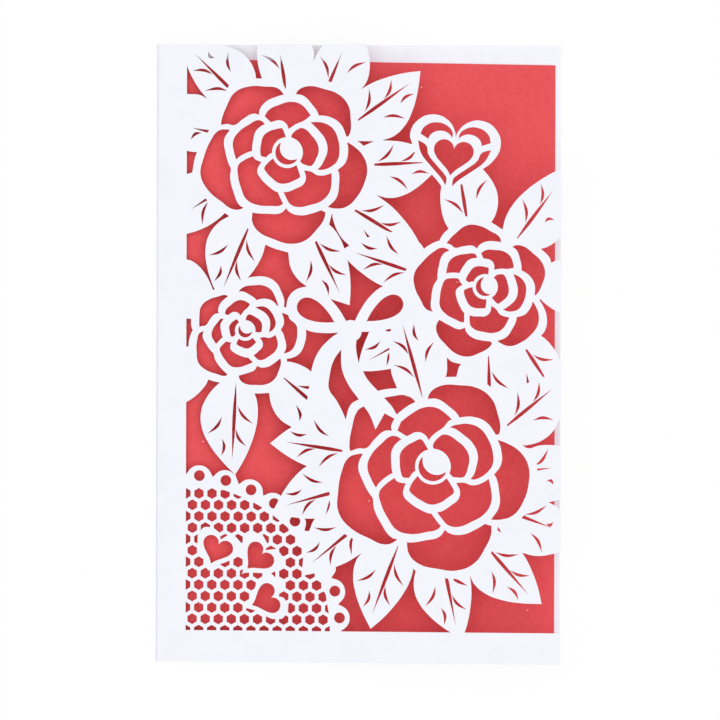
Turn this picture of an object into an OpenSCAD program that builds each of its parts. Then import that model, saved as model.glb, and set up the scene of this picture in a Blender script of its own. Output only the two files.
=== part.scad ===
// Laser-cut greeting card: a folded white card with an openwork cover of roses,
// leaves, hearts and lace, a white insert sheet and a red backing sheet.
// Millimetres, +Z up. The card lies on its back, with its fold on the -X side.
// The origin is the middle of its footprint, on the surface that it lies on.

/* [Card] */
// Width of the closed card, from the fold to the free edge
card_w = 120; // [112:1:130]
// Height of the card
card_h = 183; // [174:1:195]
// Thickness of the white card
card_t = 0.3; // [0.2:0.05:0.5]
// Inside radius of the fold
fold_r = 0.5; // [0.4:0.05:0.8]
// How far the cover springs open, in degrees
open_angle = 4.5; // [3:0.25:8]
// Solid margin of the cover beside the fold
fold_margin = 9; // [7:0.5:12]
// Solid margin along the foot of the cover
foot_margin = 9.3; // [7:0.1:12]

/* [Insert sheet] */
// Thickness of the white insert sheet
insert_t = 0.15; // [0.1:0.05:0.3]
// Distance from the fold to the insert
insert_fold_gap = 2; // [1.5:0.5:4]
// Distance from the free edge to the insert
insert_side_gap = 0.4; // [0.2:0.1:2]
// Distance from the foot of the card to the insert
insert_foot_gap = 0.6; // [0.2:0.1:3]
// Distance from the top of the card to the insert, at the fold
insert_top_gap = 0.6; // [0.3:0.1:3]
// How much lower its top edge lies at the free edge than at the fold
insert_top_fall = 1.7; // [0:0.1:3]

/* [Red sheet] */
// Thickness of the red sheet
red_t = 0.2; // [0.1:0.05:0.3]
// Distance from the edge of the insert to the red sheet, beside the fold
red_fold_gap = 1; // [0.5:0.5:3]
// Distance from the edge of the insert to the red sheet, beside the free edge
red_side_gap = 1.3; // [0.3:0.1:3]
// Distance from the foot of the insert to the red sheet
red_foot_gap = 1.4; // [0.3:0.1:4]
// Distance from the top of the insert to the red sheet
red_top_gap = 3.5; // [1:0.1:6]

/* [Roses] */
// Radius of the big rose, low on the free side
big_rose_r = 31; // [27:0.5:33]
// Radius of the rose in the upper corner at the fold
top_rose_r = 27; // [23:0.5:29]
// Radius of the rose half way up the free edge
edge_rose_r = 22; // [19:0.5:24]
// Radius of the small rose at the fold
fold_rose_r = 18; // [15:0.5:20]
// Width of the lines of card between the openings
line_w = 2; // [1.6:0.1:2.4]

/* [Leaves] */
// Length of a leaf
leaf_len = 31; // [26:1:36]
// Width of a leaf
leaf_w = 17; // [14:0.5:19]
// Width of the vein slits
vein_w = 0.9; // [0.7:0.1:1.3]

/* [Ribbon and hearts] */
// Width of the ribbon
ribbon_w = 6.5; // [4.5:0.5:8]
// Length of a loop of the bow
loop_len = 21; // [18:1:26]
// Length of the tails of the bow
tail_len = 30; // [24:1:36]
// Width of the large heart
heart_w = 27; // [22:0.5:30]
// Width of the hearts in the lace
lace_heart_w = 14; // [11:0.5:16]

/* [Lace] */
// Radius of the lace in the lower corner at the fold
lace_r = 45; // [41:1:50]
// Distance between the middles of neighbouring cells
cell_pitch = 3.9; // [3.5:0.1:4.4]
// Width of the card between two cells
cell_web = 1.1; // [0.8:0.1:1.4]
// Radius of the scallops along the edge of the lace
scallop_r = 4; // [3:0.25:5]

/* [Hidden] */
// Outside radius of the fold, the place of its middle and how far the sheet turns there
fold_out = fold_r + card_t;
fold_x = -card_w / 2 + fold_out;
fold_turn = 180 - open_angle;
fold_steps = 16;
// Openings narrower than this are left out, and so are scraps of lace cells
min_gap = 0.5;
min_cell = 0.8;
// How far a corner may stray from the drawing where narrow openings are left out
slack = 0.06;
// Width of the card round the opening of a heart
heart_rim = 1.2 * line_w;
// How far from the middle of its rose a leaf starts, as a part of the rose's radius
leaf_start = 0.6;
// Points on the outline of a petal, a heart, a leaf's side and a bow's loop
petal_steps = 16;
heart_steps = 20;
leaf_steps = 7;
loop_steps = 16;
// Petal rings of a rose from the outside in: petals, distance of their middles, half width,
// half depth and upward shift, as parts of the rose's radius, then the first direction
rose_rings = [
  [5, 0.58, 0.47, 0.40, 0.00, 52],
  [5, 0.37, 0.36, 0.31, 0.03, 88],
  [3, 0.20, 0.27, 0.21, 0.06, 20]];
bud_part = 0.17;
bud_lift = 0.07;

// A place on the cover, as parts of its width from the fold and of its height from the foot
function on_cover(across, up) = [across * card_w, up * card_h];
big_rose = on_cover(0.69, 0.306);
top_rose = on_cover(0.325, 0.814);
edge_rose = on_cover(0.808, 0.6);
fold_rose = on_cover(0.225, 0.53);
bow = on_cover(0.483, 0.536);
heart = on_cover(0.733, 0.814);

// A leaf that grows out of a rose, as a row of the list below
function leaf(rose, rose_r, angle, twist) = [
  "leaf", rose + leaf_start * rose_r * [cos(angle), sin(angle)], angle - 90 + twist, leaf_len];

// One row per motif, from the back of the drawing to the front:
// kind, place, direction in degrees, size
motifs = [
  ["lace", [fold_margin, foot_margin], 0, lace_r],
  for (angle = [160, 128, 60, 92, 28, -5, 205, 240, -72, -38]) leaf(top_rose, top_rose_r, angle, 8),
  for (angle = [62, 108, 12, 170, 218, -80, -48]) leaf(edge_rose, edge_rose_r, angle, -8),
  for (angle = [145, 210, 258, -50]) leaf(fold_rose, fold_rose_r, angle, 10),
  for (angle = [34, 2, -26, -54, -84, -116, 214, 190, 166, 100]) leaf(big_rose, big_rose_r, angle, 6),
  ["heart", heart, -8, heart_w],
  ["rose", fold_rose, 20, fold_rose_r],
  ["rose", edge_rose, -25, edge_rose_r],
  ["rose", top_rose, 0, top_rose_r],
  ["rose", big_rose, 12, big_rose_r],
  ["tail", bow, 152, tail_len],
  ["tail", bow, -164, tail_len],
  ["loop", bow, 62, loop_len],
  ["loop", bow, -58, loop_len],
  ["knot", bow, 0, ribbon_w]];

// Closed outline of a petal that points up, about its own middle
function petal(half_w, half_d, phase) = [
  for (i = [0 : petal_steps - 1])
    let (t = i * 360 / petal_steps, wave = 1 + 0.035 * sin(5 * t + phase))
    [half_w * wave * sin(t) * (1 + 0.12 * cos(t)), half_d * wave * (cos(t) + 0.12 * pow(max(0, cos(t)), 6))]];

// Points turned by an angle and moved
function placed(points, angle, move) = [
  for (p = points) [p.x * cos(angle) - p.y * sin(angle), p.x * sin(angle) + p.y * cos(angle)] + move];

// Every petal of a rose, from the outermost to the innermost
function rose_petals(r) = [
  for (ring = rose_rings, i = [0 : ring[0] - 1])
    let (
      angle = ring[5] + i * 360 / ring[0] + 6 * sin(130 * i),
      grow = 1 + 0.07 * sin(97 * i + 50 * ring[0]),
      out = ring[1] * r)
    placed(
      petal(ring[2] * r * grow, ring[3] * r * grow, 60 * i),
      angle - 90,
      [out * cos(angle), out * sin(angle) + ring[4] * r])];

// Whether a place on the cover is away from its margins and edges
function is_clear(p) =
  p.x > fold_margin + line_w / 2 && p.x < card_w - line_w && p.y > foot_margin && p.y < card_h - line_w;

function heart_points(w) = [
  for (i = [0 : heart_steps - 1])
    let (t = i * 360 / heart_steps)
    w / 32 * [16 * pow(sin(t), 3), 2.5 + 13 * cos(t) - 5 * cos(2 * t) - 2 * cos(3 * t) - cos(4 * t)]];

// Half width and middle line of a leaf, at a part of its length
function leaf_half(s) = leaf_w / 2 * pow(sin(180 * pow(s, 0.85)), 0.9);
function leaf_mid(s, len) = [0.08 * len * sin(180 * s), len * s];

module leaf_shape(len) {
  polygon(concat(
    [for (i = [0 : leaf_steps]) leaf_mid(i / leaf_steps, len) + [leaf_half(i / leaf_steps), 0]],
    [for (i = [1 : leaf_steps - 1])
      leaf_mid(1 - i / leaf_steps, len) - [leaf_half(1 - i / leaf_steps), 0]]));
}

// A slit that is pointed at both ends and bows sideways
module slit(from, to, w, swing) {
  along = to - from;
  across = [-along.y, along.x] / norm(along);
  middle = from + along * 0.45;
  polygon([from, middle + across * (swing - w / 2), to, middle + across * (swing + w / 2)]);
}

// The part of a slit that keeps clear of the margins and of the card's edges
module clear_slit(m, from, to, w, swing) {
  inside = [
    for (t = [0 : 0.05 : 1])
      if (is_clear(placed([from + t * (to - from)], m[2], m[1])[0]))
        t];
  if (len(inside) > 7)
    slit(from + inside[0] * (to - from), from + inside[len(inside) - 1] * (to - from), w, swing);
}

// A long slit for the midrib, and side veins that alternate
module leaf_cuts(m) {
  len = m[3];
  clear_slit(m, leaf_mid(0.1, len), leaf_mid(0.86, len), vein_w * 1.2, 0);
  for (vein = [[0.34, -1], [0.45, 1], [0.56, -1], [0.66, 1]]) {
    tip = vein[0] + 0.17;
    clear_slit(
      m,
      leaf_mid(vein[0], len) + [vein[1] * 2.3 * vein_w, 0],
      leaf_mid(tip, len) + [vein[1] * (leaf_half(tip) - line_w / 2), 0],
      vein_w,
      vein[1] * 0.8 * vein_w);
  }
}

module rose_shape(r) {
  for (outline = rose_petals(r))
    polygon(outline);
}

// The opening of a petal leaves a line that is broader at the tip than at the sides
module petal_opening(outline) {
  tip = outline[0] - outline[petal_steps / 2];
  for_tip = 0.5 * line_w * tip / norm(tip);
  intersection() {
    offset(delta = -0.8 * line_w)
      polygon(outline);
    translate(-for_tip)
      offset(delta = -0.8 * line_w)
        polygon(outline);
  }
}

module rose_cuts(r) {
  petals = rose_petals(r);
  last = len(petals) - 1;
  for (i = [0 : last])
    difference() {
      petal_opening(petals[i]);
      for (j = [i + 1 : 1 : last])
        polygon(petals[j]);
      translate([0, bud_lift * r])
        circle(r = bud_part * r, $fn = 20);
    }
  translate([0, bud_lift * r])
    difference() {
      circle(r = bud_part * r - line_w / 2, $fn = 16);
      translate([0.05 * r, 0.05 * r])
        circle(r = bud_part * r - line_w / 2, $fn = 16);
    }
}

module heart_shape(w) {
  polygon(heart_points(w));
}

// A heart in a heart, with the ring between them bridged
module heart_cuts(w) {
  difference() {
    heart_shape(w - 2 * heart_rim);
    heart_shape(w - 5 * line_w);
    for (angle = [0, 65, 180, -65])
      rotate(angle)
        translate([-line_w / 2, 0])
          square([line_w, w]);
  }
  heart_shape(w - 7.6 * line_w);
}

// Half of a bow: a drop whose point is in the knot
module loop_shape(len) {
  polygon([
    for (i = [0 : loop_steps - 1])
      let (t = i * 360 / loop_steps)
      [1.25 * ribbon_w * sin(t) * sin(t / 2), len * (1 - cos(t)) / 2]]);
}

module loop_cuts(len) {
  offset(delta = -ribbon_w * 0.48)
    loop_shape(len);
}

// A ribbon end that widens, swings to one side and is notched
module tail_shape(len) {
  steps = 6;
  function half_w(s) = ribbon_w * (0.3 + 0.3 * s);
  function swing(s) = 0.46 * ribbon_w * sin(270 * s);
  polygon(concat(
    [for (i = [0 : steps]) [swing(i / steps) + half_w(i / steps), len * i / steps]],
    [[swing(1), len - ribbon_w * 0.6]],
    [for (i = [steps : -1 : 0]) [swing(i / steps) - half_w(i / steps), len * i / steps]]));
}

// A quarter of a round mat, with a scalloped edge and hearts among its cells
module lace_shape(r) {
  intersection() {
    circle(r = r, $fn = 60);
    square(r);
  }
  lace_scallops(r)
    circle(r = scallop_r, $fn = 10);
}

module lace_scallops(r) {
  count = round(90 * PI / 180 * r / (2 * scallop_r));
  for (i = [0 : count - 1])
    rotate((i + 0.5) * 90 / count)
      translate([r, 0])
        children();
}

module lace_hearts(r) {
  for (spot = [[0.52, 0.2, -68], [0.47, 0.47, -45], [0.2, 0.52, -22]])
    translate(r * [spot[0], spot[1]])
      rotate(spot[2])
        children();
}

module lace_cuts(r) {
  row_h = cell_pitch * sin(60);
  difference() {
    intersection() {
      for (row = [0 : ceil(r / row_h)], i = [0 : ceil(r / cell_pitch)])
        translate([(i + (row % 2) / 2) * cell_pitch, row * row_h])
          rotate(30)
            circle(d = (cell_pitch - cell_web) / cos(30), $fn = 6);
      circle(r = r - line_w, $fn = 60);
    }
    lace_hearts(r)
      heart_shape(lace_heart_w);
  }
  lace_hearts(r)
    heart_shape(lace_heart_w - 2 * heart_rim);
  lace_scallops(r)
    translate([0.25 * scallop_r, 0])
      circle(r = scallop_r * 0.4, $fn = 8);
}

module motif_shape(m) {
  translate(m[1])
    rotate(m[2]) {
      if (m[0] == "rose")
        rose_shape(m[3]);
      if (m[0] == "leaf")
        leaf_shape(m[3]);
      if (m[0] == "heart")
        heart_shape(m[3]);
      if (m[0] == "loop")
        loop_shape(m[3]);
      if (m[0] == "tail")
        tail_shape(m[3]);
      if (m[0] == "knot")
        circle(d = m[3], $fn = 16);
      if (m[0] == "lace")
        lace_shape(m[3]);
    }
}

module motif_cuts(m) {
  translate(m[1])
    rotate(m[2]) {
      if (m[0] == "rose")
        rose_cuts(m[3]);
      if (m[0] == "leaf")
        leaf_cuts(m);
      if (m[0] == "heart")
        heart_cuts(m[3]);
      if (m[0] == "loop")
        loop_cuts(m[3]);
      if (m[0] == "lace")
        lace_cuts(m[3]);
    }
}

// Leaves out what is narrower than a gap. The sharp corners that this can stretch are
// held to the drawing, give or take a slack.
module laser(gap) {
  offset(delta = slack / 2)
    offset(delta = -slack / 2)
      intersection() {
        offset(delta = gap / 2)
          offset(delta = -gap / 2)
            children();
        offset(delta = slack)
          children();
      }
}

// The openings of one motif, where the motifs in front of it leave them free
module visible_cuts(i) {
  difference() {
    intersection() {
      motif_cuts(motifs[i]);
      translate([fold_margin, foot_margin])
        square([card_w - fold_margin - line_w, card_h - foot_margin - line_w]);
    }
    for (j = [i + 1 : 1 : len(motifs) - 1])
      motif_shape(motifs[j]);
  }
}

module cover_openings() {
  laser(min_gap)
    difference() {
      translate([fold_margin, foot_margin])
        square([card_w, card_h]);
      for (m = motifs)
        motif_shape(m);
    }
  for (kind = ["lace", "leaf", "heart", "rose", "loop"])
    laser(kind == "lace" ? min_cell : min_gap)
      for (i = [0 : len(motifs) - 1])
        if (motifs[i][0] == kind)
          visible_cuts(i);
}

// A point of the fold's curve, or past it along the cover, from the middle of the curve
function at_fold(r, angle, along) =
  [fold_x, fold_out] + r * [cos(angle), sin(angle)] + along * [cos(open_angle), sin(open_angle)];

// Section of the folded sheet, from the free edge of the back panel round to that of the cover
function sheet_section() = concat(
  [[card_w / 2, 0]],
  [for (i = [0 : fold_steps]) at_fold(fold_out, 270 - i * fold_turn / fold_steps, 0)],
  [at_fold(fold_out, 90 + open_angle, card_w - fold_out)],
  [at_fold(fold_r, 90 + open_angle, card_w - fold_out)],
  [for (i = [fold_steps : -1 : 0]) at_fold(fold_r, 270 - i * fold_turn / fold_steps, 0)],
  [[card_w / 2, card_t]]);

// One sheet: the back panel, the fold and the openwork cover
module folded_card() {
  color("#F5F6FC")
    difference() {
      rotate([90, 0, 0])
        linear_extrude(card_h, center = true)
          polygon(sheet_section());
      translate([fold_x, -card_h / 2, fold_out])
        rotate([0, -open_angle, 0])
          translate([-fold_out, 0, fold_r - card_t])
            linear_extrude(3 * card_t)
              cover_openings();
    }
}

// Corners of the insert: fold side, free side, foot and the two ends of its sloping top
insert_left = -card_w / 2 + insert_fold_gap;
insert_right = card_w / 2 - insert_side_gap;
insert_foot = -card_h / 2 + insert_foot_gap;
insert_top = card_h / 2 - insert_top_gap;

module insert_sheet() {
  color("#FAFBFF")
    translate([0, 0, card_t])
      linear_extrude(insert_t)
        polygon([
          [insert_left, insert_foot],
          [insert_right, insert_foot],
          [insert_right, insert_top - insert_top_fall],
          [insert_left, insert_top]]);
}

// The red sheet keeps the slope of the insert's top edge
module red_sheet() {
  color("#E2585E")
    translate([0, 0, card_t + insert_t])
      linear_extrude(red_t)
        polygon([
          [insert_left + red_fold_gap, insert_foot + red_foot_gap],
          [insert_right - red_side_gap, insert_foot + red_foot_gap],
          [insert_right - red_side_gap, insert_top - insert_top_fall - red_top_gap],
          [insert_left + red_fold_gap, insert_top - red_top_gap]]);
}

folded_card();
insert_sheet();
red_sheet();
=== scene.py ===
import math

import bpy
from mathutils import Matrix, Vector


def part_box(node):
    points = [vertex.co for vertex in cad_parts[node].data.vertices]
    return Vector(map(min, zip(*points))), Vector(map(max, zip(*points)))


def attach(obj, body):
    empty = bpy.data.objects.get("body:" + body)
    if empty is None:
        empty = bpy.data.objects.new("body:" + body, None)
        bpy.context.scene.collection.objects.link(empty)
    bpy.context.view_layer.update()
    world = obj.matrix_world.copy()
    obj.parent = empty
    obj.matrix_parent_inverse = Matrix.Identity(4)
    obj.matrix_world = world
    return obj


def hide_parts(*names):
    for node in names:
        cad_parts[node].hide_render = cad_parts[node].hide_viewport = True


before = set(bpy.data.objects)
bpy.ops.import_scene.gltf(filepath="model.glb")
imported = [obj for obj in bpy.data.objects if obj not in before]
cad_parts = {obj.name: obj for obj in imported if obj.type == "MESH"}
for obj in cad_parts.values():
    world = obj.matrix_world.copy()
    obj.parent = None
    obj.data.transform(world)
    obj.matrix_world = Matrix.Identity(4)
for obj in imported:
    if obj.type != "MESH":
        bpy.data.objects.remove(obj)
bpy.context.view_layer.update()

MM = 0.001

# The folded card, read from the frame. The insert lies on its back panel, so that gives the thickness
CARD_LOW, CARD_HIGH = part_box("folded_card")
CARD_W = CARD_HIGH.x - CARD_LOW.x
CARD_H = CARD_HIGH.y - CARD_LOW.y
CARD_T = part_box("insert_sheet")[0].z
# The fold's radius on the inside and the outside, its axis, and the steps that it is turned in
FOLD_IN = 0.5 * MM
FOLD_OUT = FOLD_IN + CARD_T
FOLD_AXIS = Vector((CARD_LOW.x + FOLD_OUT, 0, FOLD_OUT))
FOLD_STEPS = 24
# How far the cover and the back panel reach from that axis
REACH = CARD_W - FOLD_OUT

# A face whose normal rises by more than this faces up
UPRIGHT = 0.9
# Faces that turn from each other by less than this are one plane
SAME_PLANE = math.radians(1.5)
# A cut that turns more than this at a point has a corner there, and otherwise it is round
CORNER_TURN = math.radians(48)
# A vein of a leaf turns more than this at its two ends
VEIN_END_TURN = math.radians(140)
# Straight steps between two points of a round cut
CURVE_STEPS = 4
# Faces that meet at less than this are shaded as one surface
SMOOTH_TURN = math.radians(35)
# Squares that the flat cover is divided into, so that it can bow
GRID = 6 * MM
# How far the cover bows up, and how far its free edge curls, in waves from the foot to the top
BOW = 0.35 * MM
CURL = 0.5 * MM
CURL_START, CURL_RUN = 0.6, 9
# Points closer than this are one point, and faces narrower than this are dissolved
WELD = 0.001 * MM
SLIVER = 0.004 * MM


# Selecting and editing

def only(obj):
    """Selects one object and nothing else."""
    bpy.ops.object.select_all(action="DESELECT")
    obj.select_set(True)
    bpy.context.view_layer.objects.active = obj


def edit(obj):
    """Selects one object and opens it for editing."""
    only(obj)
    bpy.ops.object.mode_set(mode="EDIT")


def leave_edit():
    """Goes back from editing to the whole object."""
    bpy.ops.object.mode_set(mode="OBJECT")


def merge(obj):
    """Welds the points of a mesh that lie on each other."""
    edit(obj)
    bpy.ops.mesh.select_all(action="SELECT")
    bpy.ops.mesh.remove_doubles(threshold=WELD)
    leave_edit()


def select_none(obj):
    """Takes the selection off all parts of a mesh."""
    for part in (obj.data.vertices, obj.data.edges, obj.data.polygons):
        part.foreach_set("select", [False] * len(part))


def select_faces(obj, wanted):
    """Selects the faces of a mesh for which wanted(face) holds."""
    select_none(obj)
    for face in obj.data.polygons:
        face.select = wanted(face)


def select_edges(obj, wanted):
    """Selects the edges of a mesh of which both ends are wanted(point)."""
    select_none(obj)
    points = obj.data.vertices
    for line in obj.data.edges:
        if all(wanted(points[end].co) for end in line.vertices):
            line.select = True
            for end in line.vertices:
                points[end].select = True


# The folded card

def cover_normal(card):
    """The direction that the outside of the cover faces: up, and a little towards the fold."""
    top = max(card.data.polygons, key=lambda face: face.center.z if face.normal.z > UPRIGHT else 0)
    return top.normal.copy()


def cut_outlines(card, facing):
    """The edges of the cover's outer face, in an object of their own."""
    select_faces(card, lambda face: face.normal.angle(facing) < SAME_PLANE)
    edit(card)
    bpy.ops.mesh.select_mode(type="FACE")
    bpy.ops.mesh.region_to_loop()
    bpy.ops.mesh.duplicate()
    bpy.ops.mesh.separate(type="SELECTED")
    leave_edit()
    outlines = next(obj for obj in bpy.context.selected_objects if obj != card)
    bpy.data.objects.remove(card)
    return outlines


def at_sheet_edge(place):
    """Whether a place is on the top, the foot or the free edge of the sheet."""
    return place.x > REACH - SLIVER or abs(place.y) > CARD_H / 2 - SLIVER


def corners(places):
    """The numbers of the points where an outline turns sharply, or meets the edge of the sheet.

    A vein is drawn with four points, and only its two ends are sharp.
    """
    turns = []
    for i, here in enumerate(places):
        into, out = here - places[i - 1], places[(i + 1) % len(places)] - here
        turns.append(into.angle(out, 0))
    is_vein = len(places) == 4 and max(min(turns[0::2]), min(turns[1::2])) > VEIN_END_TURN
    sharp = VEIN_END_TURN if is_vein else CORNER_TURN
    return [i for i, here in enumerate(places) if turns[i] > sharp or at_sheet_edge(here)]


def drawn_round(outlines):
    """Draws the outlines as curves, with corners only where a cut turns sharply, and fills them."""
    only(outlines)
    bpy.ops.object.convert(target="CURVE")
    bpy.ops.object.mode_set(mode="EDIT")
    bpy.ops.curve.select_all(action="SELECT")
    bpy.ops.curve.spline_type_set(type="BEZIER")
    bpy.ops.curve.handle_type_set(type="AUTOMATIC")
    leave_edit()
    drawing = outlines.data
    drawing.dimensions = "2D"
    drawing.fill_mode = "BOTH"
    for line in drawing.splines:
        line.resolution_u = CURVE_STEPS
        points = line.bezier_points
        for i in corners([point.co.copy() for point in points]):
            points[i].handle_left_type = "VECTOR"
            points[i].handle_right_type = "VECTOR"
    only(outlines)
    bpy.ops.object.convert(target="MESH")
    merge(outlines)


def divide(sheet):
    """Cuts the flat cover into squares, so that it can bow."""
    edit(sheet)
    for direction, start, length in (((1, 0, 0), 0, REACH), ((0, 1, 0), CARD_LOW.y, CARD_H)):
        direction = Vector(direction)
        for i in range(1, math.ceil(length / GRID)):
            bpy.ops.mesh.select_all(action="SELECT")
            bpy.ops.mesh.bisect(plane_co=direction * (start + i * GRID), plane_no=direction)
    bpy.ops.mesh.select_all(action="SELECT")
    bpy.ops.mesh.dissolve_degenerate(threshold=SLIVER)
    leave_edit()


def bow(sheet):
    """Bows the cover up between the fold and the free edge, and curls that edge here and there."""
    for point in sheet.data.vertices:
        along = point.co.x / REACH
        up = (point.co.y - CARD_LOW.y) / CARD_H
        point.co.z += BOW * along * math.sin(math.pi * along)
        point.co.z += CURL * along ** 3 * math.sin(CURL_RUN * up + CURL_START)


def fold_back(sheet, open_angle):
    """Turns the sheet round the fold and draws the back panel out of it."""
    select_edges(sheet, lambda point: point.x < WELD)
    edit(sheet)
    bpy.ops.mesh.select_mode(type="EDGE")
    bpy.ops.mesh.spin(
        steps=FOLD_STEPS, angle=math.pi - open_angle, center=(0, 0, 0), axis=(0, 1, 0))
    out = Matrix.Rotation(open_angle, 3, "Y") @ Vector((REACH, 0, 0))
    bpy.ops.mesh.extrude_region_move(TRANSFORM_OT_translate={"value": out})
    bpy.ops.mesh.select_all(action="SELECT")
    bpy.ops.mesh.remove_doubles(threshold=WELD)
    bpy.ops.mesh.normals_make_consistent(inside=False)
    leave_edit()
    cover = max(sheet.data.polygons, key=lambda face: face.center.x * (face.center.z > 0))
    if cover.normal.z < 0:
        edit(sheet)
        bpy.ops.mesh.select_all(action="SELECT")
        bpy.ops.mesh.flip_normals()
        leave_edit()


def folded_card():
    """One sheet: the cover with its cuts drawn round, the fold and the back panel."""
    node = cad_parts["folded_card"]
    card = node.copy()
    card.data = node.data.copy()
    bpy.context.collection.objects.link(card)
    merge(card)
    facing = cover_normal(card)
    open_angle = math.atan2(-facing.x, facing.z)
    sheet = cut_outlines(card, facing)
    sheet.name = "card_sheet"

    # Laid flat about the fold for the drawing, and opened again at the end
    opened = Matrix.Translation(FOLD_AXIS) @ Matrix.Rotation(-open_angle, 4, "Y")
    over_fold = Matrix.Translation(Vector((0, 0, FOLD_OUT)))
    sheet.data.transform((opened @ over_fold).inverted())
    drawn_round(sheet)
    sheet.data.transform(over_fold)
    divide(sheet)
    bow(sheet)
    fold_back(sheet, open_angle)
    sheet.data.transform(opened)

    sheet.data.materials.clear()
    sheet.data.materials.append(white_card())
    sheet.data.materials.append(cut_edge())
    only(sheet)
    wall = sheet.modifiers.new("card thickness", "SOLIDIFY")
    wall.thickness = CARD_T
    wall.offset = -1
    wall.material_offset_rim = 1
    bpy.ops.object.modifier_apply(modifier=wall.name)
    bpy.ops.object.shade_smooth_by_angle(angle=SMOOTH_TURN)
    return sheet


# Papers

# The part of a noise's range that most of it lies in
NOISE_LOW, NOISE_HIGH = 0.3, 0.7


def colour(text):
    """A screen colour such as F5F6FC as the shader's own values."""
    parts = [int(text[i:i + 2], 16) / 255 for i in (0, 2, 4)]
    return [p / 12.92 if p <= 0.04045 else ((p + 0.055) / 1.055) ** 2.4 for p in parts] + [1]


class Paper:
    """A paper finish: a shader whose colour, roughness and surface come from noise."""

    def __init__(self, name):
        self.material = bpy.data.materials.new(name)
        self.material.use_nodes = True
        self.nodes = self.material.node_tree.nodes
        self.links = self.material.node_tree.links
        self.shader = self.nodes["Principled BSDF"]
        self.place = self.nodes.new("ShaderNodeTexCoord").outputs["Object"]

    def noise(self, size, detail=3, roughness=0.5, squeeze=(1, 1, 1), turn=0):
        """Noise with features of about a size in metres, squeezed along the axes and turned."""
        mapping = self.nodes.new("ShaderNodeMapping")
        mapping.inputs["Scale"].default_value = squeeze
        mapping.inputs["Rotation"].default_value = (0, 0, turn)
        noise = self.nodes.new("ShaderNodeTexNoise")
        noise.inputs["Scale"].default_value = 1 / size
        noise.inputs["Detail"].default_value = detail
        noise.inputs["Roughness"].default_value = roughness
        self.links.new(self.place, mapping.inputs["Vector"])
        self.links.new(mapping.outputs["Vector"], noise.inputs["Vector"])
        return noise.outputs["Fac"]

    def specks(self, apart, radius):
        """1 on round specks of a radius that lie about so far apart, and 0 between them."""
        cells = self.nodes.new("ShaderNodeTexVoronoi")
        cells.voronoi_dimensions = "2D"
        cells.inputs["Scale"].default_value = 1 / apart
        self.links.new(self.place, cells.inputs["Vector"])
        inside = self.nodes.new("ShaderNodeMath")
        inside.operation = "LESS_THAN"
        inside.inputs[1].default_value = radius / apart
        self.links.new(cells.outputs["Distance"], inside.inputs[0])
        return inside.outputs["Value"]

    def ramp(self, value, low, high, at=(0.35, 0.65)):
        """Runs from one colour to another as a value rises."""
        ramp = self.nodes.new("ShaderNodeValToRGB")
        ramp.color_ramp.elements[0].position, ramp.color_ramp.elements[1].position = at
        ramp.color_ramp.elements[0].color = low
        ramp.color_ramp.elements[1].color = high
        self.links.new(value, ramp.inputs["Fac"])
        return ramp.outputs["Color"]

    def blend(self, value, first, second):
        """Mixes two colours, by a number or by a value that varies."""
        mix = self.nodes.new("ShaderNodeMix")
        mix.data_type = "RGBA"
        if isinstance(value, float):
            mix.inputs["Factor"].default_value = value
        else:
            self.links.new(value, mix.inputs["Factor"])
        self.links.new(first, mix.inputs["A"])
        self.links.new(second, mix.inputs["B"])
        return mix.outputs["Result"]

    def spread(self, value, low, high):
        """Spreads the middle of a noise over a range."""
        spread = self.nodes.new("ShaderNodeMapRange")
        spread.inputs["From Min"].default_value = NOISE_LOW
        spread.inputs["From Max"].default_value = NOISE_HIGH
        spread.inputs["To Min"].default_value = low
        spread.inputs["To Max"].default_value = high
        self.links.new(value, spread.inputs["Value"])
        return spread.outputs["Result"]

    def finish(self, base, rough, height, depth, shine):
        """Joins colour, roughness and a surface of a depth in metres to the shader."""
        bump = self.nodes.new("ShaderNodeBump")
        bump.inputs["Strength"].default_value = 1
        bump.inputs["Distance"].default_value = depth
        self.links.new(height, bump.inputs["Height"])
        self.links.new(bump.outputs["Normal"], self.shader.inputs["Normal"])
        self.links.new(base, self.shader.inputs["Base Color"])
        self.links.new(rough, self.shader.inputs["Roughness"])
        self.shader.inputs["Specular IOR Level"].default_value = shine
        return self.material


def white_card():
    """Smooth white card with a cool tint, and pulp that clouds it a little."""
    paper = Paper("white_card_paper")
    clouds = paper.ramp(paper.noise(9 * MM, detail=4), colour("F1F3FC"), colour("F5F6FE"))
    fibre = paper.noise(0.5 * MM, detail=2, roughness=0.6, squeeze=(1, 3.5, 1), turn=0.5)
    fibres = paper.ramp(fibre, colour("EFF0F9"), colour("FAFAFF"))
    tooth = paper.noise(0.35 * MM, roughness=0.6)
    return paper.finish(
        paper.blend(0.25, clouds, fibres), paper.spread(tooth, low=0.62, high=0.8),
        tooth, depth=0.012 * MM, shine=0.35)


def cut_edge():
    """The wall of a laser cut: the card's core, a little scorched."""
    paper = Paper("laser_cut_edge")
    scorch = paper.ramp(paper.noise(1.2 * MM), colour("CDBBA6"), colour("EADFD2"))
    grain = paper.noise(0.15 * MM, detail=2)
    return paper.finish(
        scorch, paper.spread(grain, low=0.8, high=0.95), grain, depth=0.02 * MM, shine=0.2)


def insert_paper():
    """Thin uncoated writing paper, a trace more violet than the card."""
    paper = Paper("insert_sheet_paper")
    clouds = paper.ramp(paper.noise(5 * MM, detail=4), colour("F2F2FB"), colour("F6F6FE"))
    fibre = paper.noise(0.4 * MM, detail=2, roughness=0.6, squeeze=(1, 4, 1), turn=-0.7)
    fibres = paper.ramp(fibre, colour("EEEEF9"), colour("FAFAFF"))
    tooth = paper.noise(0.3 * MM, roughness=0.6)
    return paper.finish(
        paper.blend(0.3, clouds, fibres), paper.spread(tooth, low=0.75, high=0.92),
        tooth, depth=0.014 * MM, shine=0.25)


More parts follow.
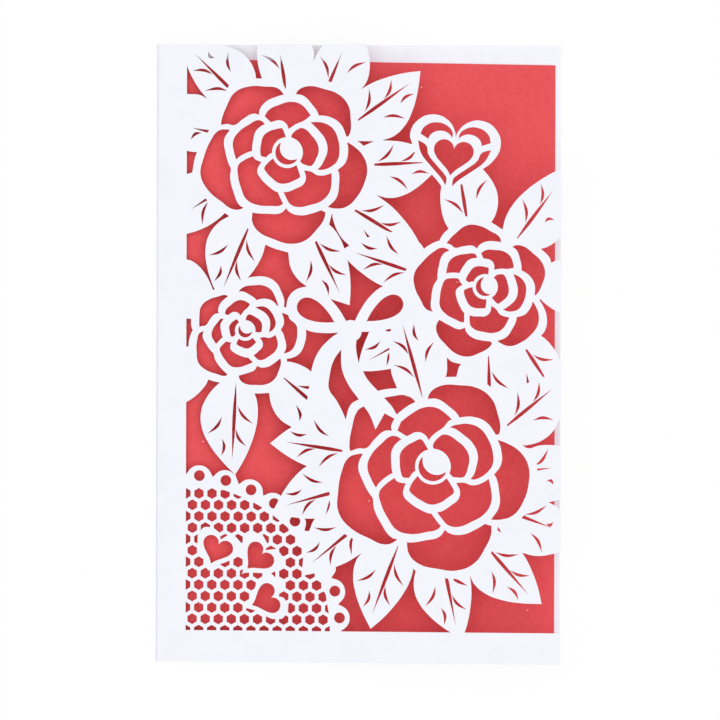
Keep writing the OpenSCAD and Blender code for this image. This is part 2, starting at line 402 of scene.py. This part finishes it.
def red_paper():
    """Dyed paper whose pulp took up the red unevenly, with pale fibres and a few specks in it."""
    paper = Paper("red_sheet_paper")
    mottle = paper.noise(1.4 * MM, detail=5, roughness=0.65)
    dye = paper.ramp(mottle, colour("DF484E"), colour("EC5C61"))
    clouds = paper.ramp(paper.noise(12 * MM), colour("E34C52"), colour("E85459"))
    fibre = paper.noise(0.45 * MM, detail=2, roughness=0.6, squeeze=(1, 4, 1), turn=0.9)
    threads = paper.ramp(fibre, colour("DC454A"), colour("F16E73"), at=(0.4, 0.72))
    red = paper.blend(0.25, paper.blend(0.5, dye, clouds), threads)
    undyed = paper.ramp(fibre, colour("FBA9A8"), colour("FFCFCC"))
    specks = paper.specks(apart=34 * MM, radius=0.22 * MM)
    tooth = paper.noise(0.35 * MM, roughness=0.6)
    return paper.finish(
        paper.blend(specks, red, undyed), paper.spread(tooth, low=0.72, high=0.9),
        tooth, depth=0.016 * MM, shine=0.3)


def dress(name, material):
    """Gives a sheet of the frame its paper."""
    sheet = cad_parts[name].data
    sheet.materials.clear()
    sheet.materials.append(material)


# Studio

WHITE = (1, 1, 1, 1)
FLOOR_W = 3.0
# How much of the floor's white is its own for the camera, so that the shadow stays faint
FLOOR_GLOW = 0.92
FLOOR_WHITE = (0.97, 0.97, 0.97, 1)
# A wide soft light over the card, a little to its right and its foot, and the room's own light
LAMP_SIDE = Vector((0.3, -0.25, 1.9))
LAMP_WIDTH = math.radians(120)
LAMP_STRENGTH = 2.2
SKY = 0.32
# The photograph is taken from straight above, from far off and a touch askew
CAMERA_HEIGHT = 1.0
CAMERA_LENS = 168.2
CAMERA_SENSOR = 36
CAMERA_AIM = Vector((0.45, -1.98, 0)) * MM
CAMERA_ROLL = math.radians(-0.15)


def seen_rays(nodes, links):
    """1 for the rays that show a background: those of the camera, of gloss and of clear things."""
    path = nodes.new("ShaderNodeLightPath")
    seen = path.outputs["Is Camera Ray"]
    for other in ("Is Glossy Ray", "Is Transmission Ray"):
        either = nodes.new("ShaderNodeMath")
        either.operation = "MAXIMUM"
        links.new(seen, either.inputs[0])
        links.new(path.outputs[other], either.inputs[1])
        seen = either.outputs["Value"]
    return seen


def studio_floor():
    """A white floor that keeps a faint shadow."""
    bpy.ops.object.select_all(action="DESELECT")
    bpy.ops.mesh.primitive_plane_add(size=FLOOR_W, location=(0, 0, 0))
    floor = bpy.context.object
    floor.name = "studio_floor"
    material = bpy.data.materials.new("studio_white")
    material.use_nodes = True
    nodes, links = material.node_tree.nodes, material.node_tree.links
    matt = nodes["Principled BSDF"]
    matt.inputs["Base Color"].default_value = FLOOR_WHITE
    matt.inputs["Roughness"].default_value = 1
    matt.inputs["Specular IOR Level"].default_value = 0
    glow = nodes.new("ShaderNodeEmission")
    glow.inputs["Color"].default_value = WHITE
    share = nodes.new("ShaderNodeMath")
    share.operation = "MULTIPLY"
    share.inputs[1].default_value = FLOOR_GLOW
    links.new(seen_rays(nodes, links), share.inputs[0])
    mix = nodes.new("ShaderNodeMixShader")
    links.new(share.outputs["Value"], mix.inputs["Fac"])
    links.new(matt.outputs["BSDF"], mix.inputs[1])
    links.new(glow.outputs["Emission"], mix.inputs[2])
    links.new(mix.outputs["Shader"], nodes["Material Output"].inputs["Surface"])
    floor.data.materials.append(material)


def studio_light():
    """The room's light, a white backdrop and the wide light over the card."""
    world = bpy.data.worlds.new("studio_sky")
    bpy.context.scene.world = world
    world.use_nodes = True
    nodes, links = world.node_tree.nodes, world.node_tree.links
    sky = nodes["Background"]
    sky.inputs["Color"].default_value = WHITE
    sky.inputs["Strength"].default_value = SKY
    backdrop = nodes.new("ShaderNodeBackground")
    backdrop.inputs["Color"].default_value = WHITE
    mix = nodes.new("ShaderNodeMixShader")
    links.new(seen_rays(nodes, links), mix.inputs["Fac"])
    links.new(sky.outputs["Background"], mix.inputs[1])
    links.new(backdrop.outputs["Background"], mix.inputs[2])
    links.new(mix.outputs["Shader"], nodes["World Output"].inputs["Surface"])

    bpy.ops.object.light_add(type="SUN", location=LAMP_SIDE)
    lamp = bpy.context.object
    lamp.name = "light_above"
    lamp.data.angle = LAMP_WIDTH
    lamp.data.energy = LAMP_STRENGTH
    lamp.rotation_euler = (-LAMP_SIDE).to_track_quat("-Z", "Y").to_euler()


def studio_camera():
    """Looks down on the card as the photograph does."""
    bpy.ops.object.camera_add(location=CAMERA_AIM + Vector((0, 0, CAMERA_HEIGHT)))
    camera = bpy.context.object
    camera.name = "camera_above"
    camera.rotation_euler = (0, 0, -CAMERA_ROLL)
    camera.data.lens = CAMERA_LENS
    camera.data.sensor_width = CAMERA_SENSOR
    bpy.context.scene.camera = camera


card = folded_card()
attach(card, "root")
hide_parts("folded_card")
dress("insert_sheet", insert_paper())
dress("red_sheet", red_paper())
studio_floor()
studio_light()
studio_camera()
bpy.context.scene.view_settings.view_transform = "Standard"
